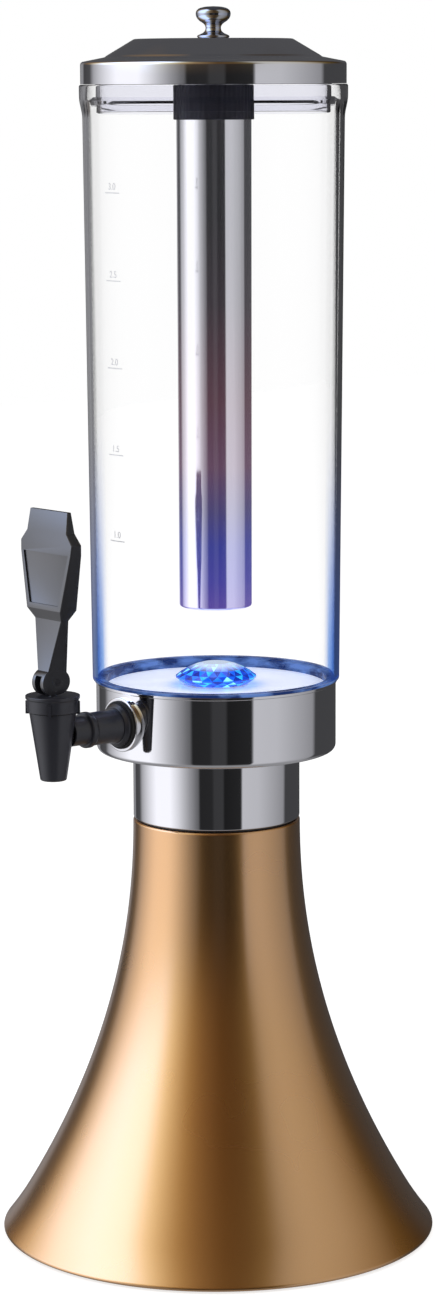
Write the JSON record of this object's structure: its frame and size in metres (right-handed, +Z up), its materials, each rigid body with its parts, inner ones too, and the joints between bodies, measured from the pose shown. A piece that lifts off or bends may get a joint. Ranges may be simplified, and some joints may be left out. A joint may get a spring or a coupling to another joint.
{
  "type": "beer tower dispenser",
  "caption": "Table-top drink tower: flared base, lit column, clear drafted reservoir with a lift-off lid and hanging ice tube, and a lever tap at its foot.",
  "frame": {"origin": "centre of the foot pad's underside, on the column's axis", "axes": "+Z up the column, -Y towards the tap"},
  "size_m": [0.2268, 0.2336, 0.6358],
  "materials": {
    "gold_paint": "satin metallic gold paint",
    "chrome": "mirror plating",
    "ice_steel": "polished stainless steel",
    "steel": "plain zinc-plated steel",
    "clear_plastic": "clear, polished",
    "white_plastic": "smooth white",
    "black_plastic": "fine satin",
    "tap_plastic": "satin moulded, charcoal",
    "black_rubber": "matt",
    "silicone": "translucent white",
    "gem": "clear, lit blue from below",
    "led": "clear domed lights",
    "board": "green circuit board",
    "battery": "plain printed sleeve",
    "contact": "nickel-plated",
    "button_red": "smooth"
  },
  "bodies": {
    "base": {"base_shell": "gold_paint", "base_floor": "black_plastic", "ballast_plate": "steel", "floor_screws": "steel", "foot_pad": "black_rubber", "socket_ring": "black_plastic"},
    "column": {"neck_tube": "chrome", "neck_spigot": "black_plastic", "collar": "chrome", "collar_screws": "steel", "floor_basin": "white_plastic", "basin_oring": "black_rubber", "reservoir_tube": "clear_plastic", "gem_lens": "gem", "lens_gasket": "silicone", "lens_nut": "black_plastic", "reflector": "white_plastic", "led_board": "board", "leds": "led", "led_housing": "black_plastic", "housing_screws": "steel", "batteries": "battery", "battery_springs": "contact", "switch_block": "black_plastic", "button_spring": "contact", "outer_washer": "black_rubber", "shank_flange": "tap_plastic", "shank_sleeve": "tap_plastic", "shank": "steel", "inner_washer": "silicone", "shank_nut": "steel", "tap_body": "tap_plastic", "bonnet": "tap_plastic", "valve_spring": "steel"},
    "light_button": {"light_button": "button_red"},
    "battery_cover": {"battery_cover": "black_plastic", "cover_contact": "contact"},
    "stem": {"stem": "steel", "seat_cup": "silicone", "pivot_pin": "steel"},
    "lever": {"lever": "tap_plastic"},
    "lid": {"lid_cover": "chrome", "lid_insert": "clear_plastic", "lid_seal": "silicone", "insert_screws": "steel", "knob": "chrome", "knob_screw": "steel"},
    "ice_gasket": {"ice_gasket": "silicone"},
    "ice_tube": {"ice_tube_head": "black_plastic", "ice_tube": "ice_steel"}
  },
  "joints": [
    {"name": "column_lift", "type": "slide", "parent": "base", "child": "column", "axis": [0, 0, 1], "range_m": [0, 0.042]},
    {"name": "lid_lift", "type": "slide", "parent": "column", "child": "lid", "axis": [0, 0, 1], "range_m": [0, 0.3]},
    {"name": "ice_tube_drop", "type": "slide", "parent": "lid", "child": "ice_gasket", "axis": [0, 0, -1], "range_m": [0, 0.012]},
    {"name": "ice_tube_turn", "type": "hinge", "parent": "ice_gasket", "child": "ice_tube", "pos_m": [0, 0, 0.588], "axis": [0, 0, -1], "range_deg": [0, 540]},
    {"name": "stem_lift", "type": "slide", "parent": "column", "child": "stem", "axis": [0, 0, 1], "range_m": [0, 0.0022], "deforming": ["valve_spring"]},
    {"name": "lever_tilt", "type": "hinge", "parent": "stem", "child": "lever", "pos_m": [0, -0.1065, 0.3031], "axis": [1, 0, 0], "range_deg": [0, 45], "stiffness_Nm_per_rad": 0.3, "springref_deg": -11.46},
    {"name": "button_press", "type": "slide", "parent": "column", "child": "light_button", "axis": [0, 0, 1], "range_m": [0, 0.0018], "stiffness_N_per_m": 250, "springref_m": -0.002, "deforming": ["button_spring"]},
    {"name": "cover_twist", "type": "hinge", "parent": "column", "child": "battery_cover", "pos_m": [0, 0, 0.2129], "axis": [0, 0, 1], "range_deg": [0, 45]}
  ],
  "couplings": [
    {"joint": "ice_tube_drop", "follows": "ice_tube_turn", "m_per_rad": 0.001273},
    {"joint": "stem_lift", "follows": "lever_tilt", "m_per_rad": 0.0028}
  ]
}
